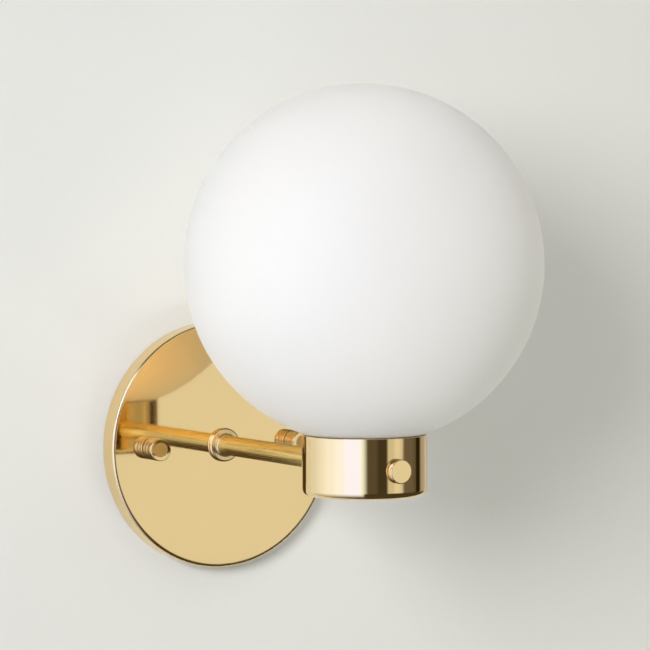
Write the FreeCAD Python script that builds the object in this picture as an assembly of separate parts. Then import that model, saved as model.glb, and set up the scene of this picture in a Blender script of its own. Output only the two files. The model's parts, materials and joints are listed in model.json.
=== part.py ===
"""Globe wall sconce: a round wall plate, a straight arm, an open cup and an opal globe on it.

Millimetres. The origin is the wall plate's centre, on the wall. +Y points into the wall,
+Z is up, and +X is to the right for someone who faces the wall. The arm leaves towards -Y.
"""
import FreeCAD, Part
import math
import os

Vector = FreeCAD.Vector

# ---------------------------------------------------------------- clearances
fixed_gap = 0.05        # radial, between pieces that are fixed to each other
thread_gap = 0.05       # radial, between a screw and its thread, both modelled plain
face_gap = 0.05         # between flat faces of pieces that move apart
rest_gap = 0.3          # between curved faces of pieces that move apart

# ---------------------------------------------------------------- wall plate
plate_diameter = 120.0
plate_depth = 10.0
plate_sheet = 1.2
plate_edge_rounding = 1.5

# ---------------------------------------------------------------- mounting plate
mounting_margin = 6.8           # from the wall plate's inside to the mounting plate
mounting_thickness = 1.5
wire_opening_diameter = 26.0
box_spacing_small = 69.85       # the two usual screw spacings of a round wall box
box_spacing_large = 88.9
box_slot_width = 5.0

# ---------------------------------------------------------------- studs and cap nuts
stud_inset = 21.0               # from the wall plate's edge to a stud's axis
stud_diameter = 4.0
stud_reach = 7.4                # past the wall plate's face
lock_nut_flats = 7.0
lock_nut_thickness = 3.2
cap_nut_diameter = 11.0
cap_nut_length = 9.6            # from the wall plate's face
cap_nut_end_disc = 7.3
cap_nut_bevel = 0.8
cap_nut_groove_pitch = 2.8
cap_nut_groove_width = 0.6
cap_nut_groove_depth = 0.45
cap_nut_end_wall = 1.6
nut_washer_diameter = 9.0
nut_washer_thickness = 0.9
nut_washer_stand = 0.3          # of its thickness stays outside the nut

# ---------------------------------------------------------------- earth terminal
ground_place = 24.0             # to the right of the centre, and as far below it
ground_screw_diameter = 4.0
ground_boss_wall = 2.0
ground_boss_height = 2.0
ground_washer_wall = 2.6
ground_washer_thickness = 0.8
ground_head_flats = 7.0
ground_head_height = 2.4

# ---------------------------------------------------------------- arm
arm_diameter = 9.5
arm_thread_diameter = 8.0
arm_bore_diameter = 6.0
ring_diameter = 16.4
ring_thickness = 2.2
ring_seat_depth = 1.0
ring_rounding = 0.5
arm_nut_flats = 13.0
back_nut_thickness = 3.0
back_nut_proud = 0.6            # thread end beyond the back nut
lock_washer_thickness = 1.0
lock_washer_wall = 3.0
lock_washer_split = 1.0
bush_wall = 0.7
bush_depth = 4.0
bush_flange = 0.8
bush_flange_thickness = 0.6

# ---------------------------------------------------------------- cup
cup_reach = 142.5               # from the wall to the cup's axis
cup_diameter = 56.0
cup_height = 27.0
cup_drop = 12.6                 # from the arm's axis to the cup's underside
cup_wall = 1.5
cup_corner_rounding = 3.0
cup_seat_bevel = 0.5            # on the rim's inner edge, where the globe rests

# ---------------------------------------------------------------- bracket in the cup
bracket_width = 14.0
bracket_thickness = 0.8
bracket_clearance = 0.1
saddle_diameter = 13.0
cup_nut_thickness = 2.0
cup_nut_proud = 0.3

# ---------------------------------------------------------------- lampholder
lampholder_diameter = 19.0
lampholder_height = 22.0
lampholder_floor = 3.0
lampholder_flange_thickness = 2.4
lampholder_rounding = 0.8
holder_screw_diameter = 2.5
holder_screw_head_diameter = 4.4
holder_screw_head_height = 1.5
holder_screw_edge = 0.6
shell_wall = 0.4
shell_foot = 2.0                # the shell starts this far above the lampholder's floor
contact_width = 3.6
contact_strip = 0.4
contact_height = 1.6
contact_length = 8.0

# ---------------------------------------------------------------- globe
globe_diameter = 160.0
globe_wall = 3.0
neck_diameter = 42.0
neck_wall = 2.5
neck_drop = 4.0                 # the neck reaches this far below the arm's axis
neck_outer_rounding = 2.0
neck_inner_rounding = 2.0
seat_gap = 0.15                 # between the rim and the globe

# ---------------------------------------------------------------- bulb
bulb_cap_diameter = 11.9
bulb_cap_length = 15.0
bulb_cap_wall = 0.3
bulb_cap_end_rounding = 0.8
bulb_diameter = 32.0
bulb_glass_length = 82.0
bulb_widest_height = 28.0       # above the cap
bulb_tip_radius = 3.0
bulb_wall = 0.7
bulb_glass_foot = 3.0           # of the glass stands inside the cap
bulb_insulator_height = 1.8
bulb_contact_height = 1.2
bulb_contact_diameter = 4.8
bulb_contact_gap = 0.1

# ---------------------------------------------------------------- thumbscrew
thumb_head_diameter = 10.8
thumb_head_thickness = 2.8
thumb_head_rounding = 0.5
thumb_shank_diameter = 4.0
thumb_boss_diameter = 7.4
thumb_boss_height = 2.2
tip_diameter = 3.2
tip_length = 2.2
tip_pin_diameter = 1.8
tip_pin_length = 1.6

# ---------------------------------------------------------------- places worked out from them
plate_radius = plate_diameter / 2
plate_face = -plate_depth
plate_inside = plate_face + plate_sheet
plate_inner_radius = plate_radius - plate_sheet
mounting_radius = plate_inner_radius - mounting_margin
mounting_front = -mounting_thickness

stud_offset = plate_radius - stud_inset
stud_places = {"left": -stud_offset, "right": stud_offset}
stud_radius = stud_diameter / 2
stud_end = plate_face - stud_reach

arm_radius = arm_diameter / 2
arm_thread_radius = arm_thread_diameter / 2
arm_hole_radius = arm_thread_radius + fixed_gap
arm_bore_radius = arm_bore_diameter / 2
ring_front = plate_face - ring_thickness
arm_shoulder = ring_front + ring_seat_depth
lock_washer_back = plate_inside + lock_washer_thickness
back_nut_back = lock_washer_back + back_nut_thickness
arm_back_end = back_nut_back + back_nut_proud

cup_axis = -cup_reach
cup_radius = cup_diameter / 2
cup_inner_radius = cup_radius - cup_wall
cup_bottom = -cup_drop
cup_floor = cup_bottom + cup_wall
cup_rim = cup_bottom + cup_height
cup_inner_rounding = max(cup_corner_rounding - cup_wall, cup_wall / 4)

bracket_back = math.sqrt(cup_inner_radius ** 2 - (bracket_width / 2) ** 2) - bracket_clearance
bracket_front = bracket_back - bracket_thickness
bracket_bend = cup_inner_rounding + bracket_thickness
bracket_top = cup_floor + bracket_thickness
cup_nut_front = bracket_front - cup_nut_thickness
arm_cup_end = cup_axis + cup_nut_front - cup_nut_proud

lampholder_radius = lampholder_diameter / 2
holder_screw_radius = holder_screw_diameter / 2
holder_head_radius = holder_screw_head_diameter / 2
holder_screw_place = lampholder_radius + holder_head_radius + holder_screw_edge
lampholder_flange_radius = holder_screw_place + holder_head_radius + holder_screw_edge
lampholder_bottom = bracket_top
lampholder_top = lampholder_bottom + lampholder_height
lampholder_inside = lampholder_bottom + lampholder_floor

bulb_cap_radius = bulb_cap_diameter / 2
shell_inner_radius = bulb_cap_radius + thread_gap
shell_radius = shell_inner_radius + shell_wall
bulb_contact_bottom = lampholder_inside + contact_height + bulb_contact_gap
bulb_insulator_bottom = bulb_contact_bottom + bulb_contact_height
bulb_cap_bottom = bulb_insulator_bottom + bulb_insulator_height
bulb_cap_top = bulb_cap_bottom + bulb_cap_length

globe_radius = globe_diameter / 2
globe_inner_radius = globe_radius - globe_wall
seat_radius = cup_inner_radius + cup_seat_bevel
globe_centre = cup_rim + seat_gap + math.sqrt(globe_radius ** 2 - seat_radius ** 2)
neck_radius = neck_diameter / 2
neck_inner_radius = neck_radius - neck_wall
neck_bottom = -neck_drop

thumb_shank_radius = thumb_shank_diameter / 2
tip_end = neck_radius + rest_gap
tip_back = tip_end + tip_length
thumb_boss_end = cup_inner_radius - thumb_boss_height
thumb_head_base = cup_radius + rest_gap
thumb_head_face = thumb_head_base + thumb_head_thickness


# ---------------------------------------------------------------- building blocks
def rod(radius, start, end, x=0.0, z=0.0):
    """Round rod along Y."""
    return Part.makeCylinder(radius, abs(end - start), Vector(x, min(start, end), z), Vector(0, 1, 0))


def post(radius, bottom, top, x=0.0, y=0.0):
    """Round rod along Z."""
    return Part.makeCylinder(radius, top - bottom, Vector(x, y, bottom))


def tube(radius, inner_radius, start, end, x=0.0, z=0.0):
    """Round tube along Y."""
    return rod(radius, start, end, x, z).cut(rod(inner_radius, start, end, x, z))


def hexagon(across_flats, start, end, x=0.0, z=0.0):
    """Hexagonal bar along Y."""
    corner = across_flats / 2 / math.cos(math.pi / 6)
    turns = [math.radians(60 * side) for side in range(7)]
    points = [Vector(x + corner * math.cos(a), start, z + corner * math.sin(a)) for a in turns]
    return Part.Face(Part.makePolygon(points)).extrude(Vector(0, end - start, 0))


def rounded_corner(before, here, after, rounding):
    """Start, middle and end of the arc that rounds a corner."""
    if rounding <= 0:
        return here, here, here
    back = (before - here).normalize()
    ahead = (after - here).normalize()
    half = back.getAngle(ahead) / 2
    middle = (back + ahead).normalize()
    start = here + back * (rounding / math.tan(half))
    end = here + ahead * (rounding / math.tan(half))
    return start, here + middle * (rounding / math.sin(half) - rounding), end


def turned(corners):
    """Solid turned about Y from (radius, y, rounding) corners, in order round its outline."""
    points = [Vector(radius, height, 0) for radius, height, rounding in corners]
    count = len(points)
    bends = []
    for i in range(count):
        bends.append(rounded_corner(points[i - 1], points[i], points[(i + 1) % count], corners[i][2]))
    edges = []
    for i in range(count):
        start, middle, end = bends[i]
        if start != end:
            edges.append(Part.Arc(start, middle, end).toShape())
        edges.append(Part.LineSegment(end, bends[(i + 1) % count][0]).toShape())
    face = Part.Face(Part.Wire(edges))
    return face.revolve(Vector(0, 0, 0), Vector(0, 1, 0), 360)


def turned_upright(corners, y):
    """The same from (radius, z, rounding) corners, about the vertical line at y."""
    solid = turned(corners)
    solid.rotate(Vector(0, 0, 0), Vector(1, 0, 0), 90)
    solid.translate(Vector(0, y, 0))
    return solid


def front_of_cup(distance):
    """The y of a point this far in front of the cup's axis."""
    return cup_axis - distance


# ---------------------------------------------------------------- at the wall
def make_wall_plate():
    inner_rounding = max(plate_edge_rounding - plate_sheet, plate_sheet / 4)
    plate = turned([
        (0, plate_face, 0),
        (plate_radius, plate_face, plate_edge_rounding),
        (plate_radius, 0, 0),
        (plate_inner_radius, 0, 0),
        (plate_inner_radius, plate_inside, inner_rounding),
        (0, plate_inside, 0),
    ])
    holes = [rod(arm_hole_radius, plate_face, plate_inside)]
    for x in stud_places.values():
        holes.append(rod(stud_radius + rest_gap, plate_face, plate_inside, x))
    return plate.cut(holes)


def make_box_slot(z):
    """Slot for one wall-box screw, which fits both usual spacings."""
    half_run = (box_spacing_large - box_spacing_small) / 4
    radius = box_slot_width / 2
    block = Part.makeBox(
        box_slot_width, mounting_thickness, 2 * half_run,
        Vector(-radius, mounting_front, z - half_run))
    ends = [rod(radius, mounting_front, 0, 0, z + side * half_run) for side in (-1, 1)]
    return block.fuse(ends)


def make_mounting_plate():
    boss_front = mounting_front - ground_boss_height
    screw_radius = ground_screw_diameter / 2
    plate = rod(mounting_radius, mounting_front, 0)
    plate = plate.fuse(rod(screw_radius + ground_boss_wall, boss_front, 0, ground_place, -ground_place))
    holes = [rod(wire_opening_diameter / 2, mounting_front, 0)]
    holes.append(rod(screw_radius + thread_gap, boss_front, 0, ground_place, -ground_place))
    for x in stud_places.values():
        holes.append(rod(stud_radius + fixed_gap, mounting_front, 0, x))
    for side in (-1, 1):
        holes.append(make_box_slot(side * (box_spacing_small + box_spacing_large) / 4))
    return plate.cut(holes)


def make_mounting_studs():
    return Part.makeCompound([rod(stud_radius, stud_end, 0, x) for x in stud_places.values()])


def make_stud_lock_nuts():
    nuts = []
    for x in stud_places.values():
        back = mounting_front - lock_nut_thickness
        nut = hexagon(lock_nut_flats, back, mounting_front, x)
        nuts.append(nut.cut(rod(stud_radius + thread_gap, back, mounting_front, x)))
    return Part.makeCompound(nuts)


def make_ground_washer():
    seat = mounting_front - ground_boss_height
    radius = ground_screw_diameter / 2
    return tube(radius + ground_washer_wall, radius + fixed_gap,
                seat, seat - ground_washer_thickness, ground_place, -ground_place)


def make_ground_screw():
    head_back = mounting_front - ground_boss_height - ground_washer_thickness
    head = hexagon(ground_head_flats, head_back, head_back - ground_head_height, ground_place, -ground_place)
    return head.fuse(rod(ground_screw_diameter / 2, head_back, 0, ground_place, -ground_place))


# ---------------------------------------------------------------- cap nuts
def make_nut_washer(x):
    seat = plate_face - face_gap
    return tube(nut_washer_diameter / 2, stud_radius + rest_gap, seat, seat - nut_washer_thickness, x)


def make_cap_nut(x):
    radius = cap_nut_diameter / 2
    base = plate_face - face_gap - nut_washer_stand
    end = plate_face - cap_nut_length
    recess = plate_face - face_gap - nut_washer_thickness - fixed_gap
    nut = turned([
        (0, base, 0),
        (radius, base, cap_nut_groove_depth / 2),
        (radius, end + cap_nut_bevel, 0),
        (cap_nut_end_disc / 2, end, 0),
        (0, end, 0),
    ])
    nut.translate(Vector(x, 0, 0))
    cuts = [rod(nut_washer_diameter / 2 + fixed_gap, base, recess, x)]
    cuts.append(rod(stud_radius + thread_gap, base, end + cap_nut_end_wall, x))
    for groove in (1, 2):
        middle = plate_face - groove * cap_nut_groove_pitch
        half = cap_nut_groove_width / 2
        cuts.append(tube(radius + cap_nut_groove_depth, radius - cap_nut_groove_depth,
                         middle - half, middle + half, x))
    return nut.cut(cuts)


# ---------------------------------------------------------------- arm
def make_arm_flange_ring():
    radius = ring_diameter / 2
    ring = turned([
        (0, plate_face, 0),
        (radius, plate_face, 0),
        (radius, ring_front, ring_rounding),
        (0, ring_front, 0),
    ])
    return ring.cut([rod(arm_radius + fixed_gap, ring_front, arm_shoulder),
                     rod(arm_hole_radius, plate_face, arm_shoulder)])


def make_arm_tube():
    """The tube's end is coped to the cup, and both its ends are turned down and threaded."""
    tube_part = rod(arm_radius, cup_axis, arm_shoulder)
    cup_body = post(cup_radius, cup_bottom, cup_rim, 0, cup_axis)
    arm = tube_part.cut(cup_body).fuse(rod(arm_thread_radius, arm_cup_end, arm_back_end))
    return arm.cut(rod(arm_bore_radius, arm_cup_end, arm_back_end))


def make_arm_lock_washer():
    washer = tube(arm_thread_radius + lock_washer_wall, arm_hole_radius, plate_inside, lock_washer_back)
    split = Part.makeBox(
        lock_washer_split, lock_washer_thickness, arm_thread_radius + lock_washer_wall,
        Vector(-lock_washer_split / 2, plate_inside, 0))
    return washer.cut(split)


def make_arm_nut(start, end):
    nut = hexagon(arm_nut_flats, start, end)
    return nut.cut(rod(arm_thread_radius + thread_gap, start, end))


def make_wire_bushes():
    bushes = []
    for end, inward in ((arm_back_end, -1), (arm_cup_end, 1)):
        outer = arm_bore_radius - fixed_gap
        bush = rod(outer, end, end + inward * bush_depth)
        bush = bush.fuse(rod(outer + bush_flange, end, end - inward * bush_flange_thickness))
        hole = rod(outer - bush_wall, end - inward * bush_flange_thickness, end + inward * bush_depth)
        bushes.append(bush.cut(hole))
    return Part.makeCompound(bushes)


# ---------------------------------------------------------------- cup
def make_cup():
    cup = turned_upright([
        (0, cup_bottom, 0),
        (cup_radius, cup_bottom, cup_corner_rounding),
        (cup_radius, cup_rim, cup_seat_bevel / 2),
        (seat_radius, cup_rim, 0),
        (cup_inner_radius, cup_rim - cup_seat_bevel, 0),
        (cup_inner_radius, cup_floor, cup_inner_rounding),
        (0, cup_floor, 0),
    ], cup_axis)
    return cup.cut([rod(arm_hole_radius, cup_axis, cup_axis + cup_radius),
                    rod(thumb_shank_radius + thread_gap, cup_axis, front_of_cup(cup_radius))])


def make_saddle_washer():
    """Flat towards the bracket, curved towards the cup's wall."""
    blank = tube(saddle_diameter / 2, arm_hole_radius,
                 cup_axis + bracket_back, cup_axis + cup_inner_radius)
    return blank.common(post(cup_inner_radius, cup_bottom, cup_rim, 0, cup_axis))


def edge_across(box, y, z):
    """The box's edge along X at this y and z."""
    return min(box.Edges, key=lambda edge: abs(edge.CenterOfMass.y - y) + abs(edge.CenterOfMass.z - z))


def make_lampholder_bracket():
    """Bent strip: one leg behind the arm's nut, the other under the lampholder."""
    half_width = bracket_width / 2
    back = cup_axis + bracket_back
    strip = Part.makeBox(
        bracket_width, bracket_back, half_width - cup_floor,
        Vector(-half_width, cup_axis, cup_floor))
    hollow = Part.makeBox(
        bracket_width, bracket_front, half_width - bracket_top,
        Vector(-half_width, cup_axis, bracket_top))
    strip = strip.makeFillet(bracket_bend, [edge_across(strip, back, cup_floor)])
    inner_edge = edge_across(hollow, cup_axis + bracket_front, bracket_top)
    bracket = strip.cut(hollow.makeFillet(bracket_bend - bracket_thickness, [inner_edge]))
    bracket = bracket.fuse(post(lampholder_flange_radius, cup_floor, bracket_top, 0, cup_axis))
    holes = [rod(arm_hole_radius, cup_axis + bracket_front, back)]
    for x in (-holder_screw_place, holder_screw_place):
        holes.append(post(holder_screw_radius + thread_gap, cup_floor, bracket_top, x, cup_axis))
    return bracket.cut(holes)


# ---------------------------------------------------------------- lampholder
def make_lampholder_body():
    flange_top = lampholder_bottom + lampholder_flange_thickness
    body = turned_upright([
        (0, lampholder_bottom, 0),
        (lampholder_flange_radius, lampholder_bottom, 0),
        (lampholder_flange_radius, flange_top, lampholder_rounding),
        (lampholder_radius, flange_top, 0),
        (lampholder_radius, lampholder_top, lampholder_rounding),
        (0, lampholder_top, 0),
    ], cup_axis)
    holes = [post(shell_radius + fixed_gap, lampholder_inside, lampholder_top, 0, cup_axis)]
    for x in (-holder_screw_place, holder_screw_place):
        holes.append(post(holder_screw_radius + fixed_gap, lampholder_bottom, flange_top, x, cup_axis))
    return body.cut(holes)


def make_lampholder_shell():
    bottom = lampholder_inside + shell_foot
    outer = post(shell_radius, bottom, lampholder_top, 0, cup_axis)
    return outer.cut(post(shell_inner_radius, bottom, lampholder_top, 0, cup_axis))


def make_lampholder_contact():
    """Spring strip with a foot on the lampholder's floor and a raised tongue."""
    half = contact_width / 2
    reach = contact_length / 2
    corners = [
        (-reach, 0), (reach, 0), (reach, contact_strip), (contact_strip - reach, contact_strip),
        (contact_strip - reach, contact_height - contact_strip),
        (half, contact_height - contact_strip), (half, contact_height), (-reach, contact_height),
        (-reach, 0),
    ]
    points = [Vector(-half, cup_axis + y, lampholder_inside + z) for y, z in corners]
    return Part.Face(Part.makePolygon(points)).extrude(Vector(contact_width, 0, 0))


def make_lampholder_screws():
    screws = []
    head_base = lampholder_bottom + lampholder_flange_thickness
    for x in (-holder_screw_place, holder_screw_place):
        shank = post(holder_screw_radius, cup_floor, head_base, x, cup_axis)
        head = post(holder_head_radius, head_base, head_base + holder_screw_head_height, x, cup_axis)
        slot = Part.makeBox(
            holder_screw_head_diameter, holder_screw_diameter / 4, holder_screw_head_height / 2,
            Vector(x - holder_head_radius, cup_axis - holder_screw_diameter / 8,
                   head_base + holder_screw_head_height / 2))
        screws.append(shank.fuse(head).cut(slot))
    return Part.makeCompound(screws)


# ---------------------------------------------------------------- thumbscrew
def make_thumbscrew_boss():
    boss = rod(thumb_boss_diameter / 2, front_of_cup(cup_inner_radius), front_of_cup(thumb_boss_end))
    boss = boss.common(post(cup_inner_radius, cup_bottom, cup_rim, 0, cup_axis))
    return boss.cut(rod(thumb_shank_radius + thread_gap,
                        front_of_cup(cup_inner_radius), front_of_cup(thumb_boss_end)))


def make_thumbscrew():
    radius = thumb_head_diameter / 2
    head = turned([
        (0, front_of_cup(thumb_head_base), 0),
        (radius, front_of_cup(thumb_head_base), thumb_head_rounding),
        (radius, front_of_cup(thumb_head_face), thumb_head_rounding),
        (0, front_of_cup(thumb_head_face), 0),
    ])
    shank = rod(thumb_shank_radius, front_of_cup(thumb_head_base), front_of_cup(tip_back + face_gap))
    pin_hole = rod(tip_pin_diameter / 2 + fixed_gap, front_of_cup(tip_back),
                   front_of_cup(tip_back + tip_pin_length + rest_gap))
    return head.fuse(shank).cut(pin_hole)


def make_thumbscrew_tip():
    pad = rod(tip_diameter / 2, front_of_cup(tip_end), front_of_cup(tip_back))
    return pad.fuse(rod(tip_pin_diameter / 2, front_of_cup(tip_back), front_of_cup(tip_back + tip_pin_length)))


# ---------------------------------------------------------------- globe
def neck_bend(sphere_radius, neck_side, rounding):
    """Where a rounding meets the neck and the sphere, with the arc's middle between them."""
    centre = Vector(neck_side + rounding, 0, 0)
    centre.z = globe_centre - math.sqrt((sphere_radius + rounding) ** 2 - centre.x ** 2)
    to_sphere = (Vector(0, 0, globe_centre) - centre).normalize()
    to_neck = Vector(-1, 0, 0)
    middle = (to_sphere + to_neck).normalize()
    return centre + to_neck * rounding, centre + middle * rounding, centre + to_sphere * rounding


def make_globe():
    """Opal glass sphere with a short neck, whose lower edge is fire-polished round."""
    outer_neck, outer_middle, outer_sphere = neck_bend(globe_radius, neck_radius, neck_outer_rounding)
    inner_neck, inner_middle, inner_sphere = neck_bend(
        globe_inner_radius, neck_inner_radius, neck_inner_rounding)
    lip = neck_bottom + neck_wall / 2
    outer_lip = Vector(neck_radius, 0, lip)
    inner_lip = Vector(neck_inner_radius, 0, lip)
    outer_top = Vector(0, 0, globe_centre + globe_radius)
    inner_top = Vector(0, 0, globe_centre + globe_inner_radius)
    outline = [
        Part.Arc(outer_top, Vector(globe_radius, 0, globe_centre), outer_sphere),
        Part.Arc(outer_sphere, outer_middle, outer_neck),
        Part.LineSegment(outer_neck, outer_lip),
        Part.Arc(outer_lip, Vector(neck_radius - neck_wall / 2, 0, neck_bottom), inner_lip),
        Part.LineSegment(inner_lip, inner_neck),
        Part.Arc(inner_neck, inner_middle, inner_sphere),
        Part.Arc(inner_sphere, Vector(globe_inner_radius, 0, globe_centre), inner_top),
        Part.LineSegment(inner_top, outer_top),
    ]
    face = Part.Face(Part.Wire([curve.toShape() for curve in outline]))
    globe = face.revolve(Vector(0, 0, 0), Vector(0, 0, 1), 360)
    globe.translate(Vector(0, cup_axis, 0))
    return globe


# ---------------------------------------------------------------- bulb
def bulb_form(inset, foot_radius, foot_bottom):
    """Candle form: a foot, an arc out to the widest place, and an ogive to a round tip."""
    widest = bulb_diameter / 2
    widest_z = bulb_cap_top + bulb_widest_height
    tip_z = bulb_cap_top + bulb_glass_length - bulb_tip_radius
    neck_side = bulb_cap_radius - widest
    lower_radius = (neck_side ** 2 + bulb_widest_height ** 2) / (-2 * neck_side)
    rise = tip_z - widest_z
    upper_radius = (widest ** 2 + rise ** 2 - bulb_tip_radius ** 2) / (2 * (widest - bulb_tip_radius))
    lower_centre = Vector(widest - lower_radius, 0, widest_z)
    upper_centre = Vector(widest - upper_radius, 0, widest_z)
    tip_centre = Vector(0, 0, tip_z)

    def on_lower(share):
        start = math.asin(-bulb_widest_height / lower_radius)
        angle = start * (1 - share)
        reach = lower_radius - inset
        return lower_centre + Vector(reach * math.cos(angle), 0, reach * math.sin(angle))

    def on_upper(share):
        full = math.atan2(tip_z - widest_z, upper_radius - widest)
        reach = upper_radius - inset
        return upper_centre + Vector(reach * math.cos(full * share), 0, reach * math.sin(full * share))

    tip_reach = bulb_tip_radius - inset
    tip_angle = (math.atan2(tip_z - widest_z, upper_radius - widest) + math.pi / 2) / 2
    tip_middle = tip_centre + Vector(tip_reach * math.cos(tip_angle), 0, tip_reach * math.sin(tip_angle))
    tip_top = tip_centre + Vector(0, 0, tip_reach)
    neck = on_lower(0)
    corners = [tip_top, Vector(0, 0, foot_bottom), Vector(foot_radius, 0, foot_bottom),
               Vector(foot_radius, 0, neck.z), neck]
    edges = [Part.LineSegment(a, b).toShape() for a, b in zip(corners, corners[1:]) if a != b]
    edges.append(Part.Arc(neck, on_lower(0.5), on_lower(1)).toShape())
    edges.append(Part.Arc(on_upper(0), on_upper(0.5), on_upper(1)).toShape())
    edges.append(Part.Arc(on_upper(1), tip_middle, tip_top).toShape())
    form = Part.Face(Part.Wire(edges)).revolve(Vector(0, 0, 0), Vector(0, 0, 1), 360)
    form.translate(Vector(0, cup_axis, 0))
    return form


def make_bulb_glass():
    foot_radius = bulb_cap_radius - bulb_cap_wall - fixed_gap
    outer = bulb_form(0, foot_radius, bulb_cap_top - bulb_glass_foot)
    inner = bulb_form(bulb_wall, foot_radius - bulb_wall, bulb_cap_top - bulb_glass_foot + bulb_wall)
    return outer.cut(inner)


def make_bulb_cap():
    inner_radius = bulb_cap_radius - bulb_cap_wall
    return turned_upright([
        (inner_radius, bulb_cap_top, 0),
        (inner_radius, bulb_cap_bottom, 0),
        (bulb_cap_radius, bulb_cap_bottom, 0),
        (bulb_cap_radius, bulb_cap_top, 0),
    ], cup_axis)


def make_bulb_insulator():
    """Cone between the cap and the contact, with a plug that closes the cap."""
    inner_radius = bulb_cap_radius - bulb_cap_wall
    return turned_upright([
        (0, bulb_insulator_bottom, 0),
        (bulb_contact_diameter / 2, bulb_insulator_bottom, 0),
        (inner_radius, bulb_cap_bottom, 0),
        (inner_radius - fixed_gap, bulb_cap_bottom, 0),
        (inner_radius - fixed_gap, bulb_cap_bottom + bulb_insulator_height, 0),
        (0, bulb_cap_bottom + bulb_insulator_height, 0),
    ], cup_axis)


def make_bulb_contact():
    return turned_upright([
        (0, bulb_contact_bottom, 0),
        (bulb_contact_diameter / 2, bulb_contact_bottom, bulb_cap_end_rounding),
        (bulb_contact_diameter / 2, bulb_insulator_bottom - face_gap, 0),
        (0, bulb_insulator_bottom - face_gap, 0),
    ], cup_axis)


# ---------------------------------------------------------------- the whole sconce
def make_pieces():
    pieces = {
        "wall_plate": make_wall_plate(),
        "mounting_plate": make_mounting_plate(),
        "mounting_studs": make_mounting_studs(),
        "stud_lock_nuts": make_stud_lock_nuts(),
        "ground_washer": make_ground_washer(),
        "ground_screw": make_ground_screw(),
        "arm_flange_ring": make_arm_flange_ring(),
        "arm_tube": make_arm_tube(),
        "arm_lock_washer": make_arm_lock_washer(),
        "arm_back_nut": make_arm_nut(lock_washer_back, back_nut_back),
        "arm_cup_nut": make_arm_nut(cup_axis + cup_nut_front, cup_axis + bracket_front),
        "wire_bushes": make_wire_bushes(),
        "cup": make_cup(),
        "saddle_washer": make_saddle_washer(),
        "lampholder_bracket": make_lampholder_bracket(),
        "lampholder_body": make_lampholder_body(),
        "lampholder_shell": make_lampholder_shell(),
        "lampholder_contact": make_lampholder_contact(),
        "lampholder_screws": make_lampholder_screws(),
        "thumbscrew_boss": make_thumbscrew_boss(),
        "thumbscrew": make_thumbscrew(),
        "thumbscrew_tip": make_thumbscrew_tip(),
        "globe": make_globe(),
        "bulb_glass": make_bulb_glass(),
        "bulb_cap": make_bulb_cap(),
        "bulb_insulator": make_bulb_insulator(),
        "bulb_contact": make_bulb_contact(),
    }
    for side, x in stud_places.items():
        pieces["cap_nut_" + side] = make_cap_nut(x)
        pieces["nut_washer_" + side] = make_nut_washer(x)
    return pieces


def main():
    os.makedirs("parts", exist_ok=True)
    for name, shape in make_pieces().items():
        if not shape.isValid() or not shape.Solids or min(s.Volume for s in shape.Solids) <= 0:
            raise ValueError(name + " is not a sound solid")
        shape.exportStep("parts/" + name + ".step")
        print(name, len(shape.Solids), "solid(s),", round(shape.Volume, 1), "mm3")


main()
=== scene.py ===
"""Looks of the globe wall sconce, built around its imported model.

Metres, in the model's own frame: the wall is the plane y = 0, +Z is up and the arm leaves towards -Y.
"""

import json
import math

import bmesh
import bpy
from mathutils import Matrix, Vector


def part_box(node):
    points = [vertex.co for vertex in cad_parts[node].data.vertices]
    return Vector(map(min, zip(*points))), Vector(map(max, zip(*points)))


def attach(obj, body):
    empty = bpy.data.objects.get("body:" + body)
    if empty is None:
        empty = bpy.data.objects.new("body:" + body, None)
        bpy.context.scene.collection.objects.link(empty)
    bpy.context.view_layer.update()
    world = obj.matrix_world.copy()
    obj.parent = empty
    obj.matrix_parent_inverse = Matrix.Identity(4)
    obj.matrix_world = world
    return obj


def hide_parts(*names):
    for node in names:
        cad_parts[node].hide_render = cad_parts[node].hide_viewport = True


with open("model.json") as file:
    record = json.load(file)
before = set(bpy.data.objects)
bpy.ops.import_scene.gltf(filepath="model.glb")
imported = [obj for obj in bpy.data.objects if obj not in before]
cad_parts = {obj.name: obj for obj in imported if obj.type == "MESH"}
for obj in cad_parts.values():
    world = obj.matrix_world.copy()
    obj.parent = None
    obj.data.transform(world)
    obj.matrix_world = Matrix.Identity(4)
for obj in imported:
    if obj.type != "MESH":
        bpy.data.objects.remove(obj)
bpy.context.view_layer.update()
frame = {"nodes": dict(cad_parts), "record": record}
MM = 0.001


# ---------------------------------------------------------------- material nodes
noise_span = (0.3, 0.7)             # where nearly all of a noise's values lie


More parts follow.
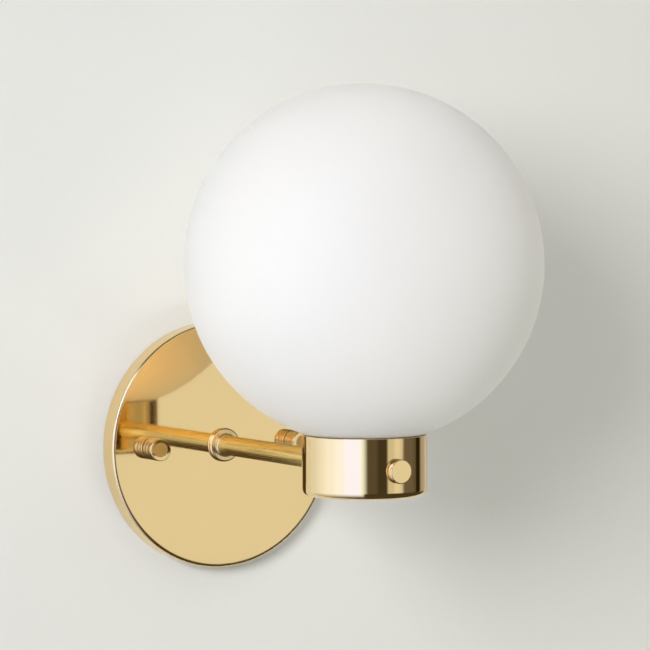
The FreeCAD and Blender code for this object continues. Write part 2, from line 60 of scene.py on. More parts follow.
class Finish:
    """A material around one Principled shader, with short ways to add nodes to it."""

    def __init__(self, name, base, roughness, metallic=0.0, **sockets):
        self.material = bpy.data.materials.new(name)
        self.material.use_nodes = True
        self.tree = self.material.node_tree
        self.shader = self.tree.nodes["Principled BSDF"]
        self.base = base
        self.set(self.shader, {"Base Color": (*base, 1), "Roughness": roughness, "Metallic": metallic})
        self.set(self.shader, {socket.replace("_", " "): value for socket, value in sockets.items()})

    @staticmethod
    def set(node, values):
        for name, value in values.items():
            node.inputs[name].default_value = value

    def add(self, kind, values=None, **settings):
        node = self.tree.nodes.new("ShaderNode" + kind)
        for name, value in settings.items():
            setattr(node, name, value)
        self.set(node, values or {})
        return node

    def link(self, source, target):
        self.tree.links.new(source, target)

    def surface(self, shader):
        self.link(shader, self.tree.nodes["Material Output"].inputs["Surface"])

    def noise(self, scale, detail=3.0, stretch=(1, 1, 1)):
        """Noise fixed to the piece, with a scale per metre along each axis."""
        place = self.add("TexCoord").outputs["Object"]
        mapping = self.add("Mapping", {"Scale": stretch})
        self.link(place, mapping.inputs["Vector"])
        noise = self.add("TexNoise", {"Scale": scale, "Detail": detail})
        self.link(mapping.outputs["Vector"], noise.inputs["Vector"])
        return noise.outputs["Fac"]

    def spread(self, value, low, high, start=noise_span[0], end=noise_span[1]):
        """A value between start and end, mapped to low and high."""
        ranged = self.add("MapRange", {"From Min": start, "From Max": end, "To Min": low, "To Max": high})
        self.link(value, ranged.inputs["Value"])
        return ranged.outputs["Result"]

    def tint(self, value, low, high):
        """Base colour between these two multiples of itself."""
        ramp = self.add("ValToRGB")
        for element, factor, place in zip(ramp.color_ramp.elements, (low, high), noise_span):
            element.color = (*(min(channel * factor, 1.0) for channel in self.base), 1)
            element.position = place
        self.link(value, ramp.inputs["Fac"])
        self.link(ramp.outputs["Color"], self.shader.inputs["Base Color"])

    def roughen(self, value, low, high):
        self.link(self.spread(value, low, high), self.shader.inputs["Roughness"])

    def bump(self, value, depth, strength=1.0):
        """Relief of this depth in metres."""
        bump = self.add("Bump", {"Strength": strength, "Distance": depth})
        self.link(value, bump.inputs["Height"])
        self.link(bump.outputs["Normal"], self.shader.inputs["Normal"])

    def wear(self, value, tints, roughness, depth, strength=1.0):
        """Tint, roughness and relief that all follow the same marks."""
        self.tint(value, *tints)
        self.roughen(value, *roughness)
        self.bump(value, depth, strength)


def calc(tree, operation, *terms):
    """Outcome of a Math node whose terms are sockets or numbers."""
    node = tree.nodes.new("ShaderNodeMath")
    node.operation = operation
    for socket, term in zip(node.inputs, terms):
        if isinstance(term, (int, float)):
            socket.default_value = term
        else:
            tree.links.new(term, socket)
    return node.outputs["Value"]


# ---------------------------------------------------------------- finishes
brass = (0.92, 0.70, 0.36)
milky = (1, 0.97, 0.93)             # how far each colour spreads inside white glass, against red


def polished_brass():
    finish = Finish("polished brass", brass, 0.04, 1.0)
    finish.tint(finish.noise(60), 0.99, 1.01)
    finish.roughen(finish.noise(900, 5), 0.03, 0.07)
    finish.bump(finish.noise(140, 2), 1.5e-6)
    return finish.material


def plate_brass():
    """Polished, with a rim that is eased more softly than the solid's."""
    finish = Finish("plate brass", brass, 0.04, 1.0)
    finish.tint(finish.noise(40), 0.99, 1.01)
    finish.roughen(finish.noise(900, 5), 0.03, 0.07)
    bevel = finish.add("Bevel", {"Radius": 0.9 * MM}, samples=6)
    finish.link(bevel.outputs["Normal"], finish.shader.inputs["Normal"])
    return finish.material


def satin_brass():
    """Brushed along Y, so its streaks run the length of the arm."""
    finish = Finish("satin brass", (1.0, 0.77, 0.34), 0.3, 1.0, Specular_Tint=(1.0, 0.90, 0.66, 1))
    streaks = finish.noise(1, 5, stretch=(5000, 20, 5000))
    finish.wear(streaks, (0.93, 1.06), (0.19, 0.32), 1.0e-5, 0.5)
    return finish.material


def turned_brass():
    """Sides that still show the fine rings of the lathe."""
    finish = Finish("turned brass", brass, 0.2, 1.0)
    rings = finish.noise(1, 4, stretch=(60, 7000, 60))
    finish.wear(rings, (0.95, 1.03), (0.22, 0.32), 3.0e-6, 0.5)
    return finish.material


def faced_brass():
    """Flat ends left matte from the cutting tool."""
    finish = Finish("faced brass", (0.95, 0.64, 0.22), 0.4, 1.0)
    finish.wear(finish.noise(2600, 3), (0.94, 1.03), (0.36, 0.46), 6.0e-6)
    return finish.material


def plain_brass():
    finish = Finish("plain brass", (0.78, 0.60, 0.33), 0.25, 1.0)
    finish.wear(finish.noise(1400, 4), (0.9, 1.05), (0.2, 0.36), 1.0e-5)
    return finish.material


def zinc_steel():
    finish = Finish("zinc steel", (0.62, 0.64, 0.66), 0.35, 1.0)
    grain = finish.noise(700, 5)
    finish.tint(grain, 0.88, 1.06)
    finish.roughen(finish.noise(220, 4), 0.26, 0.42)
    finish.bump(grain, 1.2e-5)
    return finish.material


def green_steel():
    finish = Finish("green steel", (0.07, 0.30, 0.12), 0.32, 0.6)
    finish.wear(finish.noise(900, 4), (0.8, 1.2), (0.25, 0.4), 1.0e-5)
    return finish.material


def black_nylon():
    finish = Finish("black nylon", (0.02, 0.02, 0.021), 0.45)
    finish.wear(finish.noise(2200, 4), (0.8, 1.3), (0.38, 0.55), 1.5e-5)
    return finish.material


def clear_nylon():
    finish = Finish("clear nylon", (0.80, 0.80, 0.75), 0.35, Subsurface_Weight=0.4, Subsurface_Scale=0.001,
                    Subsurface_Radius=(1, 1, 0.9))
    finish.wear(finish.noise(1800, 3), (0.96, 1.02), (0.3, 0.42), 8.0e-6)
    return finish.material


def white_porcelain():
    finish = Finish("white porcelain", (0.86, 0.85, 0.81), 0.12, Coat_Weight=0.4, Coat_Roughness=0.05)
    finish.tint(finish.noise(500, 6), 0.965, 1.01)
    finish.roughen(finish.noise(90, 3), 0.09, 0.2)
    finish.bump(finish.noise(240, 2), 1.6e-5)
    return finish.material


def nickel():
    finish = Finish("nickel", (0.74, 0.72, 0.68), 0.14, 1.0)
    finish.wear(finish.noise(420, 5), (0.93, 1.04), (0.1, 0.24), 6.0e-6)
    return finish.material


def opal_glass():
    """Satin etched opal: a matte skin over white glass that spreads light a little way."""
    finish = Finish("opal glass", (0.955, 0.957, 0.945), 0.6, IOR=1.45,
                    Subsurface_Weight=0.5, Subsurface_Scale=0.010, Subsurface_Radius=milky)
    finish.tint(finish.noise(14, 3), 0.995, 1.0)
    etch = finish.noise(5200, 2)
    finish.roughen(etch, 0.55, 0.68)
    finish.bump(etch, 1.0e-5, 0.5)
    return finish.material


def frosted_glass():
    finish = Finish("frosted glass", (0.92, 0.92, 0.90), 0.4, IOR=1.45,
                    Subsurface_Weight=0.4, Subsurface_Scale=0.004, Subsurface_Radius=milky)
    finish.tint(finish.noise(60, 2), 0.97, 1.0)
    frost = finish.noise(3600, 3)
    finish.roughen(frost, 0.3, 0.45)
    finish.bump(frost, 8.0e-6)
    return finish.material


def black_glass():
    finish = Finish("black glass", (0.012, 0.012, 0.016), 0.1)
    finish.wear(finish.noise(600, 3), (0.7, 1.5), (0.07, 0.18), 1.0e-5)
    return finish.material


def tin():
    finish = Finish("tin", (0.60, 0.60, 0.59), 0.4, 1.0)
    finish.wear(finish.noise(1500, 5), (0.85, 1.08), (0.3, 0.5), 3.0e-5)
    return finish.material


finishes = {make.__name__: make() for make in (
    polished_brass, plate_brass, satin_brass, turned_brass, faced_brass, plain_brass,
    zinc_steel, green_steel, black_nylon, clear_nylon, white_porcelain, nickel,
    opal_glass, frosted_glass, black_glass, tin)}
own_finish = {"wall_plate": "plate_brass"}      # for a node that doesn't take its slot's


def dress_nodes():
    """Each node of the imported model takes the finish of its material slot, or its own."""
    for part in frame["record"]["subparts"]:
        mesh = frame["nodes"][part["node"]].data
        mesh.materials.clear()
        mesh.materials.append(finishes[own_finish.get(part["node"], part["material_slot"])])


dress_nodes()


# ---------------------------------------------------------------- turned and threaded pieces
def quarter(start, corner, end, steps=8):
    """Quarter round from start to end, whose tangents meet at the corner."""
    points = []
    for step in range(steps + 1):
        turn = math.pi / 2 * step / steps
        points.append(tuple(a + b - c + (c - b) * math.cos(turn) + (c - a) * math.sin(turn)
                            for a, c, b in zip(start, corner, end)))
    return points


def crown(start, end, rise, steps=10):
    """Shallow arc between two points, this much further from the axis in its middle."""
    points = []
    for step in range(steps + 1):
        share = step / steps
        lift = rise * 4 * share * (1 - share)
        points.append((start[0] + (end[0] - start[0]) * share + lift, start[1] + (end[1] - start[1]) * share))
    return points


def flats(finish, *points):
    """A run for each straight step between these points, so that all its corners are sharp."""
    return [([first, second], finish) for first, second in zip(points, points[1:])]


def in_metres(points):
    return [(radius * MM, along * MM) for radius, along in points]


def slopes(points):
    """Normal of the profile at each of its points, as if it ran on smoothly past its ends."""
    sides = [Vector((a1 - a0, r0 - r1)).normalized() for (r0, a0), (r1, a1) in zip(points, points[1:])]
    if len(sides) == 1:
        return sides * 2
    inner = [(first + second).normalized() for first, second in zip(sides, sides[1:])]
    return [(3 * sides[0] - sides[1]).normalized(), *inner, (3 * sides[-1] - sides[-2]).normalized()]


def spin(name, runs, across=0.0, steps=96):
    """Surface of revolution with exact normals, round an axis along Y at this place across the wall.

    Each run is (points, finish), smooth along itself and sharp at its ends. A point is (radius, place along
    the axis) in millimetres. The runs follow each other: out from the axis at the low end, up the side and
    back in.
    """
    def put(radius, along, turn, origin):
        return origin + Vector((radius * math.cos(turn), along, radius * math.sin(turn)))

    axis = Vector((across, 0, 0))
    nowhere = Vector((0, 0, 0))
    turns = [2 * math.pi * step / steps for step in range(steps)]
    vertices, faces, normals, slots, names = [], [], [], [], []
    last = None
    for points, finish in runs:
        points = in_metres(points)
        if finish not in names:
            names.append(finish)
        joined = last == points[0]
        first = len(vertices) - (steps if joined else 0)
        for radius, along in points[1:] if joined else points:
            vertices += [put(radius, along, turn, axis) for turn in turns]
        last = points[-1]
        slope = slopes(points)
        for row in range(len(points) - 1):
            for step in range(steps):
                after = (step + 1) % steps
                corners = [(row + 1, step), (row + 1, after), (row, after), (row, step)]
                if points[row][0] == 0:
                    corners.pop(2)
                elif points[row + 1][0] == 0:
                    corners.pop(1)
                faces.append([first + level * steps + place for level, place in corners])
                normals += [put(slope[level].x, slope[level].y, turns[place], nowhere)
                            for level, place in corners]
                slots.append(names.index(finish))
    mesh = bpy.data.meshes.new(name)
    mesh.from_pydata(vertices, [], faces)
    for finish in names:
        mesh.materials.append(finishes[finish])
    mesh.polygons.foreach_set("material_index", slots)
    mesh.polygons.foreach_set("use_smooth", [True] * len(faces))
    mesh.normals_split_custom_set(normals)
    return mesh


def rings_mesh(name, shells, finish, upright=False, sharp=30):
    """Closed shells of rings round axes along Y, or along Z if upright.

    Each shell is (hub, rings, steps). A ring is a function of the angle that gives radius and place along
    the axis.
    """
    builder = bmesh.new()
    for hub, rings, steps in shells:
        rows = []
        for ring in rings:
            row = []
            for step in range(steps):
                turn = 2 * math.pi * step / steps
                radius, along = ring(turn)
                x, other = hub.x + radius * math.cos(turn), radius * math.sin(turn)
                place = (x, hub.y + other, along) if upright else (x, along, hub.z + other)
                row.append(builder.verts.new(place))
            rows.append(row)
        for here, there in zip(rows, rows[1:] + rows[:1]):
            for step in range(steps):
                after = (step + 1) % steps
                builder.faces.new((here[step], here[after], there[after], there[step]))
    bmesh.ops.recalc_face_normals(builder, faces=builder.faces)
    mesh = bpy.data.meshes.new(name)
    builder.to_mesh(mesh)
    builder.free()
    mesh.materials.append(finishes[finish])
    mesh.polygons.foreach_set("use_smooth", [True] * len(mesh.polygons))
    mesh.set_sharp_from_angle(angle=math.radians(sharp))
    return mesh


def plain_rings(*points):
    """A ring for each point, with the same radius and place all round."""
    return [lambda turn, point=point: point for point in points]


def thread_rings(start, end, radius, depth, pitch, run_in, upright=False, rolled=False):
    """Rings of a right-handed thread from start to end, that fades over its run-in at both ends."""
    rings_per_turn = 12
    count = max(8, round(abs(end - start) / pitch * rings_per_turn))
    hand = 1 if upright else -1
    rings = []
    for number in range(count + 1):
        along = start + (end - start) * number / count
        ease = min(1.0, min(abs(along - start), abs(end - along)) / run_in)

        def ring(turn, along=along, ease=ease):
            phase = (hand * along / pitch - turn / (2 * math.pi)) % 1.0
            if rolled:
                dip = 0.5 - 0.5 * math.cos(2 * math.pi * phase)
            else:               # straight flanks between a narrow flat crest and root
                dip = min(1.0, max(0.0, abs(2 * phase - 1) * 1.25 - 0.125))
            return radius - depth * (1 - ease) - depth * dip * ease, along
        rings.append(ring)
    return rings


def hex_rings(width, bore, start, end):
    """Rings of a hexagon nut with chamfered corners on both faces."""
    chamfer = width / 2 * 0.96      # radius from which the corners fall away
    slope = math.tan(math.radians(30))
    sign = 1 if end > start else -1

    def edge(turn):
        return width / 2 / math.cos(turn % (math.pi / 3) - math.pi / 6)

    def shoulder(face, inward):
        def ring(turn):
            radius = max(edge(turn), chamfer)
            return edge(turn), face + inward * (radius - chamfer) * slope
        return ring

    lead = bore * 1.12              # mouth of the threaded bore
    return [*plain_rings((bore, start + sign * (lead - bore)), (lead, start), (chamfer, start)),
            shoulder(start, sign), shoulder(end, -sign),
            *plain_rings((chamfer, end), (lead, end), (bore, end - sign * (lead - bore)))]


def place_piece(name, mesh, body, *nodes):
    """The mesh as a piece on this body, in place of these nodes."""
    piece = bpy.data.objects.new(name, mesh)
    bpy.context.scene.collection.objects.link(piece)
    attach(piece, body)
    if nodes:
        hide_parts(*nodes)


# Of the shapes below, lone numbers are millimetres.
groove_middles = (-15.6, -12.8)     # of both cap nuts, from the wall
groove_mouth, groove_floor, groove_depth = 0.3, 0.17, 0.36      # the first two are half widths
band_rise = 0.022                   # of a crowned band between grooves, against its length
base_lip = 0.2                      # round of an edge that lies on the plate
stud_bore, arm_bore = 2.05, 4.05    # of what goes on the studs, and on the arm's threaded ends
stud_thread = {"radius": 2.0 * MM, "depth": 0.36 * MM, "pitch": 0.7 * MM}
thread_steps, nut_steps, cap_steps = 48, 72, 72
nut_sharp, cap_sharp = 20, 40       # degrees from which an edge is sharp


def make_cap_nut(side):
    """Crowned bands between two grooves, and a flat polished rim round a matte disc."""
    node = "cap_nut_" + side
    low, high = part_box(node)
    end, base = low.y / MM, high.y / MM
    radius = (high.x - low.x) / 2 / MM - 0.14
    root = radius - groove_depth
    lip, disc, disc_depth, disc_slope = 0.35, 3.5, 0.05, 0.12
    washer_radius, washer_seat = 4.55, base - 0.65
    bore_end, bore_tip = end + 1.6, end + 1.2

    def band(start, stop):
        return crown((radius, start), (radius, stop), band_rise * (stop - start)), "turned_brass"

    runs = [
        ([(0, end + disc_depth), (disc, end + disc_depth)], "faced_brass"),
        *flats("polished_brass", (disc, end + disc_depth), (disc + disc_slope, end), (radius - lip, end)),
        (quarter((radius - lip, end), (radius, end), (radius, end + lip)), "polished_brass"),
    ]
    here = end + lip
    for middle in groove_middles:
        mouth, far_mouth = middle - groove_mouth, middle + groove_mouth
        runs += [
            band(here, mouth),
            *flats("turned_brass", (radius, mouth), (root, middle - groove_floor),
                   (root, middle + groove_floor), (radius, far_mouth)),
        ]
        here = far_mouth
    runs += [
        band(here, base - base_lip),
        (quarter((radius, base - base_lip), (radius, base), (radius - base_lip, base)), "polished_brass"),
        *flats("turned_brass", (radius - base_lip, base), (washer_radius, base), (washer_radius, washer_seat),
               (stud_bore, washer_seat), (stud_bore, bore_end), (0, bore_tip)),
    ]
    place_piece(node + "_turned", spin(node + "_turned", runs, (low.x + high.x) / 2), node, node)


def make_flange_ring():
    """Collar with a crowned side, a flat face and a bead round the arm."""
    low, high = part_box("arm_flange_ring")
    face, base, radius = low.y / MM, high.y / MM, high.x / MM - 0.1
    arm, bead, bead_front = 4.79, 5.8, face - 1.6
    seat, lip, rise = base - 1.2, 0.75, 0.1
    runs = [
        (quarter((arm, bead_front), (bead, bead_front), (bead, face)), "turned_brass"),
        ([(bead, face), (radius - lip, face)], "turned_brass"),
        (quarter((radius - lip, face), (radius, face), (radius, face + lip)), "polished_brass"),
        (crown((radius, face + lip), (radius, base - base_lip), rise), "polished_brass"),
        (quarter((radius, base - base_lip), (radius, base), (radius - base_lip, base)), "polished_brass"),
        *flats("turned_brass", (radius - base_lip, base), (arm_bore, base), (arm_bore, seat), (arm, seat),
               (arm, bead_front)),
    ]
    mesh = spin("arm_flange_ring_turned", runs, steps=128)
    place_piece("arm_flange_ring_turned", mesh, "sconce", "arm_flange_ring")


def make_thumbscrew():
    """Flat round head, and a threaded shank with a socket for the tip's pin."""
    low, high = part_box("thumbscrew")
    face, shank_end, radius = low.y / MM, high.y / MM, high.x / MM - 0.06
    back, lip, rise = face + 2.8, 0.45, 0.06
    shank, shank_start, thread_start = 1.9, back + 0.6, back + 0.1
    pin, pin_end, core = 0.95, shank_end - 1.95, 0.2
    runs = [
        ([(0, face), (radius - lip, face)], "polished_brass"),
        (quarter((radius - lip, face), (radius, face), (radius, face + lip)), "polished_brass"),
        (crown((radius, face + lip), (radius, back - lip), rise), "turned_brass"),
        (quarter((radius, back - lip), (radius, back), (radius - lip, back)), "polished_brass"),
        *flats("turned_brass", (radius - lip, back), (shank, back), (shank, shank_start), (0, shank_start)),
    ]
    place_piece("thumbscrew_head", spin("thumbscrew_head", runs), "thumbscrew", "thumbscrew")
    rings = [
        *plain_rings(*in_metres([(core, pin_end), (pin, pin_end), (pin, shank_end)])),
        *thread_rings(shank_end * MM, thread_start * MM, run_in=0.4 * MM, **stud_thread),
        *plain_rings(*in_metres([(core, thread_start)])),
    ]
    mesh = rings_mesh("thumbscrew_thread", [(Vector((0, 0, 0)), rings, thread_steps)], "turned_brass")
    place_piece("thumbscrew_thread", mesh, "thumbscrew")


def make_studs():
    low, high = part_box("mounting_studs")
    core = 0.1 * MM
    shells = []
    for x in (low.x + stud_thread["radius"], high.x - stud_thread["radius"]):
        thread = thread_rings(low.y, high.y, run_in=0.5 * MM, **stud_thread)
        rings = [*plain_rings((core, low.y)), *thread, *plain_rings((core, high.y))]
        shells.append((Vector((x, 0, 0)), rings, thread_steps))
    mesh = rings_mesh("mounting_studs_threaded", shells, "zinc_steel")
    place_piece("mounting_studs_threaded", mesh, "sconce", "mounting_studs")


def make_hex_nuts():
    low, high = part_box("stud_lock_nuts")
    width = high.z - low.z
    corner = width / math.sqrt(3)
    shells = [(Vector((x, 0, 0)), hex_rings(width, stud_bore * MM, low.y, high.y), nut_steps)
              for x in (low.x + corner, high.x - corner)]
    mesh = rings_mesh("stud_lock_nuts_chamfered", shells, "zinc_steel", sharp=nut_sharp)
    place_piece("stud_lock_nuts_chamfered", mesh, "sconce", "stud_lock_nuts")
    for node, finish in (("arm_back_nut", "zinc_steel"), ("arm_cup_nut", "plain_brass")):
        low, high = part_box(node)
        shells = [(Vector((0, 0, 0)), hex_rings(high.z - low.z, arm_bore * MM, low.y, high.y), nut_steps)]
        mesh = rings_mesh(node + "_chamfered", shells, finish, sharp=nut_sharp)
        place_piece(node + "_chamfered", mesh, "sconce", node)


def make_bulb_cap():
    """Rolled screw cap with a plain collar at the top, where the glass goes in."""
    low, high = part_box("bulb_cap")
    foot, top, radius = low.z / MM, high.z / MM, (high.x - low.x) / 2 / MM
    collar, inner = top - 2.4, radius - 0.35
    thread_start, depth, pitch, run_in = foot + 0.5, 0.5, 2.54, 1.4
    foot_rim = [(inner - 0.25, foot + 0.15), (inner - 0.15, foot), (radius - 0.45, foot + 0.1)]
    collar_rim = [(radius - depth, collar + 0.3), (radius - 0.1, collar + 0.7), (radius, collar + 1.1),
                  (radius, top - 0.1), (radius - 0.1, top)]
    inside = [(inner, top), (inner, top - 2), (inner - 0.25, top - 3)]
    rings = [
        *plain_rings(*in_metres(foot_rim)),
        *thread_rings(thread_start * MM, collar * MM, radius * MM, depth * MM, pitch * MM, run_in * MM,
                      upright=True, rolled=True),
        *plain_rings(*in_metres(collar_rim + inside)),
    ]
    shells = [((low + high) / 2, rings, cap_steps)]
    mesh = rings_mesh("bulb_cap_rolled", shells, "nickel", upright=True, sharp=cap_sharp)
    place_piece("bulb_cap_rolled", mesh, "bulb", "bulb_cap")


for side in ("left", "right"):
    make_cap_nut(side)
make_flange_ring()
make_thumbscrew()
make_studs()
make_hex_nuts()
make_bulb_cap()

# ---------------------------------------------------------------- stage
cup_low, cup_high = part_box("cup")
cup_axis = (cup_low.y + cup_high.y) / 2
plate_low, plate_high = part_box("wall_plate")
plate_radius = plate_high.x

wall_offset = 0.3 * MM              # the wall stays just behind the plate's rim
wall_hole_radius = plate_radius - 1.5 * MM
wall_half_width = 2.4
wall_tone = (0.81, 0.825, 0.812)
floor_height = -0.9
floor_tone = (0.80, 0.79, 0.77)
floor_glow = 0.40                   # added where it is seen, to lift it out of the shade that the lamps leave


def stage_object(name, mesh, material):
    piece = bpy.data.objects.new(name, mesh)
    bpy.context.scene.collection.objects.link(piece)
    mesh.materials.append(material)
    return piece


def wall_material():
    """Painted wall in front and clear from behind, where views look through it at the plate's back."""
    finish = Finish("painted wall", wall_tone, 0.85)
    finish.tint(finish.noise(900, 3), 0.992, 1.008)
    mix = finish.add("MixShader")
    finish.link(finish.add("NewGeometry").outputs["Backfacing"], mix.inputs["Fac"])
    finish.link(finish.shader.outputs["BSDF"], mix.inputs[1])
    finish.link(finish.add("BsdfTransparent").outputs["BSDF"], mix.inputs[2])
    finish.surface(mix.outputs["Shader"])
    return finish.material


def make_wall():
    """Square wall with a round hole behind the plate, so that light reaches the plate's back."""
    mesh = bpy.data.meshes.new("wall")
    builder = bmesh.new()
    steps = 96
    rings = []
    for inner in (True, False):
        ring = []
        for step in range(steps):
            angle = 2 * math.pi * step / steps
            direction = Vector((math.cos(angle), 0, math.sin(angle)))
            reach = wall_hole_radius
            if not inner:
                reach = wall_half_width / max(abs(direction.x), abs(direction.z))
            point = direction * reach
            point.y = wall_offset
            ring.append(builder.verts.new(point))
        rings.append(ring)
    for step in range(steps):
        after = (step + 1) % steps
        builder.faces.new((rings[0][step], rings[1][step], rings[1][after], rings[0][after]))
    builder.normal_update()
    if sum(face.normal.y for face in builder.faces) > 0:
        bmesh.ops.reverse_faces(builder, faces=builder.faces)
    builder.to_mesh(mesh)
    builder.free()
    stage_object("wall", mesh, wall_material())


def seen_ray(tree):
    """1 on rays of the camera, and on mirrored and transmitted ones, and 0 on the light's own."""
    path = tree.nodes.new("ShaderNodeLightPath").outputs
    seen = calc(tree, "MAXIMUM", path["Is Camera Ray"], path["Is Glossy Ray"])
    return calc(tree, "MAXIMUM", seen, path["Is Transmission Ray"])


def brighten_where_seen(finish):
    """Paler to the eye, without lighting the object."""
    extra = finish.add("Emission", {"Color": (*floor_tone, 1)})
    strength = calc(finish.tree, "MULTIPLY", seen_ray(finish.tree), floor_glow)
    finish.link(strength, extra.inputs["Strength"])
    total = finish.add("AddShader")
    finish.link(finish.shader.outputs["BSDF"], total.inputs[0])
    finish.link(extra.outputs["Emission"], total.inputs[1])
    finish.surface(total.outputs["Shader"])


def make_floor():
    mesh = bpy.data.meshes.new("floor")
    builder = bmesh.new()
    reach = wall_half_width
    corners = [(-reach, wall_offset), (-reach, -2 * reach), (reach, -2 * reach), (reach, wall_offset)]
    builder.faces.new([builder.verts.new((x, y, floor_height)) for x, y in corners])
    builder.to_mesh(mesh)
    builder.free()
    finish = Finish("pale floor", floor_tone, 0.7)
    finish.tint(finish.noise(12, 3), 0.98, 1.0)
    brighten_where_seen(finish)
    stage_object("floor", mesh, finish.material)


make_wall()
make_floor()

# What polished metal mirrors: one curved screen in front of the object, that only reflections see.
# Angles are degrees, round the cup from straight ahead and positive to the right, or up from the arm.
screen_radius = 1.5
screen_ends = (-140, 110)           # beyond a quarter turn it runs along just in front of the wall
screen_wall_gap = 15 * MM
screen_low, screen_high = -0.88, 1.5
softbox_tone = (1.09, 1.275, 2.36)
# Where each band starts, the angle over which it fades in, and its glow.
screen_bands = [
    (-140, 0, (0.82, 0.86, 0.93)),      # wall beside the softbox, brighter towards it
    (-116, 30, (1.045, 1.16, 1.52)),
    (-88, 12, (1.085, 1.25, 1.84)),
    (-69, 4, softbox_tone),
    (-39.5, 5, (1.07, 1.28, 1.85)),     # edge of the softbox
    (-35, 4, (0.84, 0.95, 1.20)),
    (-29, 7, (0.105, 0.088, 0.062)),    # unlit part of the room, behind the camera
    (-8, 6, (0.058, 0.046, 0.030)),
    (11, 4.5, (0.68, 0.67, 0.61)),      # pale screen
    (24, 5, (0.82, 0.815, 0.775)),
    (36, 4, (0.74, 0.73, 0.69)),
    (43, 6, (0.155, 0.130, 0.108)),     # dim corner
    (68, 6, (0.12, 0.105, 0.085)),
    (76, 4, (0.022, 0.016, 0.004)),     # dark doorway
    (91, 7, (0.42, 0.39, 0.35)),
    (102, 6, (0.49, 0.475, 0.43)),
]
softbox_left = (-75.2, -70.2)       # where the softbox fades in
softbox_right = (-34.4, -30.4)      # and where it fades out
softbox_rise = (0.0, 22.0)          # heights over which it grows to its full glow
softbox_core = 1.7                  # full glow against the glow of its lower edge
softbox_top = (44.0, 50.0)          # heights over which it ends
ceiling_tone = (0.10, 0.085, 0.06)
ceiling_start = (9.0, 17.0)         # heights over which the rest of the room turns into dark ceiling
ground_tone = (0.065, 0.05, 0.032)
ground_start = (-72.0, -14.0)       # heights of dark ground below the softbox and the wall beside it
ground_start_right = (-17.0, -10.0)     # and to the right of the softbox


def band_ramp(finish, value, bands, low, high):
    """Colours that start at each band's place, faded in over its own width."""
    ramp = finish.add("ValToRGB")
    elements = ramp.color_ramp.elements
    stops = [(low, bands[0][2])]
    for (start, fade, colour), before in zip(bands[1:], bands):
        stops += [(start - fade / 2, before[2]), (start + fade / 2, colour)]
    while len(elements) < len(stops):
        elements.new(1.0)
    for element, (place, colour) in zip(elements, stops):
        element.position = (place - low) / (high - low)
        element.color = (*colour, 1)
    share = finish.add("MapRange", {"From Min": low, "From Max": high})
    finish.link(value, share.inputs["Value"])
    finish.link(share.outputs["Result"], ramp.inputs["Fac"])
    return ramp.outputs["Color"]


def degrees(tree, opposite, adjacent):
    """Angle of a right triangle, in degrees."""
    return calc(tree, "MULTIPLY", calc(tree, "ARCTAN2", opposite, adjacent), math.degrees(1))


def blend(finish, share, first, second, kind="RGBA"):
    """Mix of two colours, or of two sockets of kind VALUE. A colour is a socket or a tuple."""
    mix = finish.add("Mix", data_type="FLOAT" if kind == "VALUE" else kind)
    finish.link(share, mix.inputs["Factor"])
    for name, term in (("A", first), ("B", second)):
        socket = next(port for port in mix.inputs if port.name == name and port.type == kind)
        if isinstance(term, tuple):
            socket.default_value = (*term, 1)
        else:
            finish.link(term, socket)
    return next(port for port in mix.outputs if port.type == kind)


def screen_material():
    """Glow by the angle round the cup's axis, and by height above the arm."""
    finish = Finish("studio screen", (0, 0, 0), 1.0)
    tree = finish.tree
    place = finish.add("SeparateXYZ")
    finish.link(finish.add("TexCoord").outputs["Object"], place.inputs["Vector"])
    flat = finish.add("CombineXYZ")
    for axis in "XY":
        finish.link(place.outputs[axis], flat.inputs[axis])
    reach = finish.add("VectorMath", operation="LENGTH")
    finish.link(flat.outputs["Vector"], reach.inputs[0])
    side = degrees(tree, place.outputs["X"], calc(tree, "SUBTRACT", 0.0, place.outputs["Y"]))
    height = degrees(tree, place.outputs["Z"], reach.outputs["Value"])

    right_of_start = finish.spread(side, 0.0, 1.0, *softbox_left)
    left_of_end = finish.spread(side, 1.0, 0.0, *softbox_right)
    inside = calc(tree, "MULTIPLY", right_of_start, left_of_end)
    growth = calc(tree, "SUBTRACT", finish.spread(height, 1.0, softbox_core, *softbox_rise), 1.0)
    room = finish.add("VectorMath", operation="SCALE")
    finish.link(band_ramp(finish, side, screen_bands, *screen_ends), room.inputs[0])
    finish.link(calc(tree, "MULTIPLY_ADD", growth, inside, 1.0), room.inputs["Scale"])

    outside = calc(tree, "SUBTRACT", 1.0, inside)
    ceiling = calc(tree, "MULTIPLY", outside, finish.spread(height, 0.0, 1.0, *ceiling_start))
    above = calc(tree, "MAXIMUM", ceiling, finish.spread(height, 0.0, 1.0, *softbox_top))
    left_ground, right_ground = (finish.spread(height, 1.0, 0.0, *heights)
                                 for heights in (ground_start, ground_start_right))
    below = blend(finish, left_of_end, right_ground, left_ground, "VALUE")
    colour = blend(finish, above, room.outputs["Vector"], ceiling_tone)
    colour = blend(finish, below, colour, ground_tone)
    light = finish.add("Emission")
    finish.link(colour, light.inputs["Color"])
    finish.surface(light.outputs["Emission"])
    return finish.material


def only_reflected(piece):
    """The piece is seen by reflections and by nothing else."""
    piece.visible_camera = False
    piece.visible_diffuse = False
    piece.visible_transmission = False
    piece.visible_volume_scatter = False
    piece.visible_shadow = False


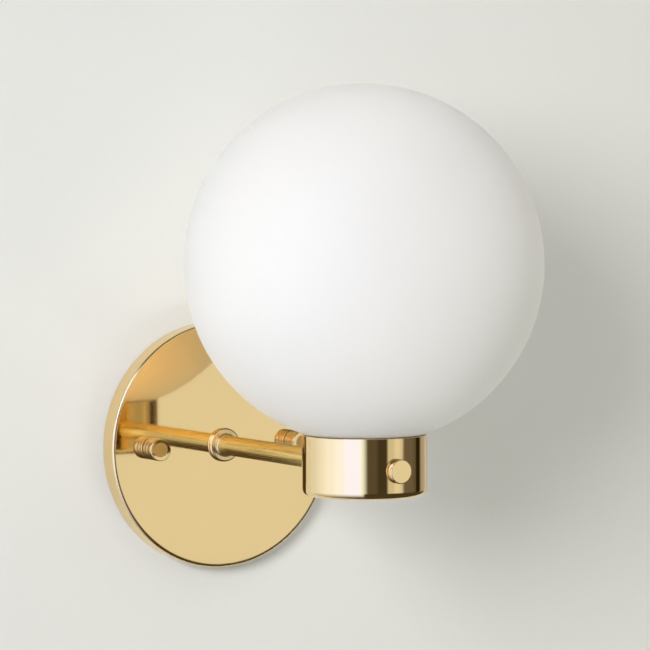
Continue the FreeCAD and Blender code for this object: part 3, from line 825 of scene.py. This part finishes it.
def make_screen():
    mesh = bpy.data.meshes.new("studio_screen")
    builder = bmesh.new()
    steps = 146
    wall_reach = -cup_axis - screen_wall_gap
    columns = []
    for step in range(steps + 1):
        angle = math.radians(screen_ends[0] + (screen_ends[1] - screen_ends[0]) * step / steps)
        reach = screen_radius
        if math.cos(angle) < 0:
            reach = min(reach, wall_reach / -math.cos(angle))
        x, y = reach * math.sin(angle), -reach * math.cos(angle)
        columns.append([builder.verts.new((x, y, z)) for z in (screen_low, screen_high)])
    for left, right in zip(columns, columns[1:]):
        builder.faces.new((left[0], right[0], right[1], left[1]))
    for end in (0, 1):
        builder.faces.new([column[end] for column in columns])
    builder.to_mesh(mesh)
    builder.free()
    screen = stage_object("studio_screen", mesh, screen_material())
    screen.location = (0, cup_axis, 0)
    only_reflected(screen)


make_screen()

# ---------------------------------------------------------------- light
_, globe_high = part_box("globe")
globe_centre = Vector((0, cup_axis, globe_high.z - globe_high.x))
light_distance = 1.35               # from the globe's centre
# Side and height are degrees round the globe, from straight ahead to the right and from level upwards.
lights = [
    {"name": "key", "side": -50, "height": 11.5, "size": 0.5, "power": 14.0, "tint": (1.015, 0.998, 0.985)},
    {"name": "fill_high", "side": 60, "height": 65, "size": 0.8, "power": 2.9, "tint": (1.1, 0.97, 0.93)},
    {"name": "fill_side", "side": 70, "height": 35, "size": 0.8, "power": 2.5, "tint": (0.98, 1.04, 0.92)},
    {"name": "fill_front", "side": 40, "height": 10, "size": 0.8, "power": 1.9, "tint": (1.08, 0.99, 0.88)},
    {"name": "bounce", "side": 50, "height": -50, "size": 0.8, "power": 8.2, "tint": (1.03, 1.03, 0.87)},
]
plate_glow = (0.095, (1.0, 0.56, 0.05))     # power and tint of what the plate throws on the globe
plate_glow_place = Vector((-35 * MM, plate_low.y - 1.0 * MM, -30 * MM))
plate_glow_size = plate_radius * 1.6
ambient_tone = (0.15, 0.15, 0.1485)
backdrop_tone = (0.90, 0.90, 0.89)          # what cameras and reflections see past the stage


def add_disc_light(name, place, back, size, power, tint):
    """Round light whose back faces this way, and that nothing mirrors."""
    lamp = bpy.data.lights.new(name, "AREA")
    lamp.shape = "DISK"
    lamp.size = size
    lamp.energy = power
    lamp.color = tint
    light = bpy.data.objects.new(name, lamp)
    bpy.context.scene.collection.objects.link(light)
    light.location = place
    light.rotation_euler = back.to_track_quat("Z", "Y").to_euler()
    light.visible_glossy = False
    light.visible_camera = False


def add_globe_light(name, side, height, size, power, tint):
    """Light that looks at the globe from these angles."""
    side, height = math.radians(side), math.radians(height)
    back = Vector((math.sin(side) * math.cos(height), -math.cos(side) * math.cos(height), math.sin(height)))
    add_disc_light(name, globe_centre + back * light_distance, back, size, power, tint)


for light in lights:
    add_globe_light(**light)
add_disc_light("plate_glow", plate_glow_place, Vector((0, 1, 0)), plate_glow_size, *plate_glow)


def make_world():
    world = bpy.data.worlds.new("studio")
    bpy.context.scene.world = world
    world.use_nodes = True
    nodes, links = world.node_tree.nodes, world.node_tree.links
    background = nodes["Background"]
    background.inputs["Color"].default_value = (*ambient_tone, 1)
    backdrop = nodes.new("ShaderNodeBackground")
    backdrop.inputs["Color"].default_value = (*backdrop_tone, 1)
    mix = nodes.new("ShaderNodeMixShader")
    links.new(seen_ray(world.node_tree), mix.inputs["Fac"])
    links.new(background.outputs["Background"], mix.inputs[1])
    links.new(backdrop.outputs["Background"], mix.inputs[2])
    links.new(mix.outputs["Shader"], nodes["World Output"].inputs["Surface"])


make_world()

# ---------------------------------------------------------------- camera
camera_place = Vector((-0.63062, -1.18315, 0.11473))
camera_yaw = 0.5305                 # turned to the right of straight at the wall
camera_pitch = 0.04246              # tipped down
camera_roll = -0.00377
camera_lens = 151.7
camera_sensor = 36.0


def make_camera():
    data = bpy.data.cameras.new("camera")
    data.sensor_fit = "HORIZONTAL"
    data.sensor_width = camera_sensor
    data.lens = camera_lens
    data.clip_start = 0.05
    data.clip_end = 20
    camera = bpy.data.objects.new("camera", data)
    bpy.context.scene.collection.objects.link(camera)
    turn = (Matrix.Rotation(-camera_yaw, 4, "Z") @ Matrix.Rotation(math.pi / 2 - camera_pitch, 4, "X")
            @ Matrix.Rotation(camera_roll, 4, "Z"))
    camera.matrix_world = Matrix.Translation(camera_place) @ turn
    bpy.context.scene.camera = camera


make_camera()
bpy.context.scene.view_settings.view_transform = "Standard"
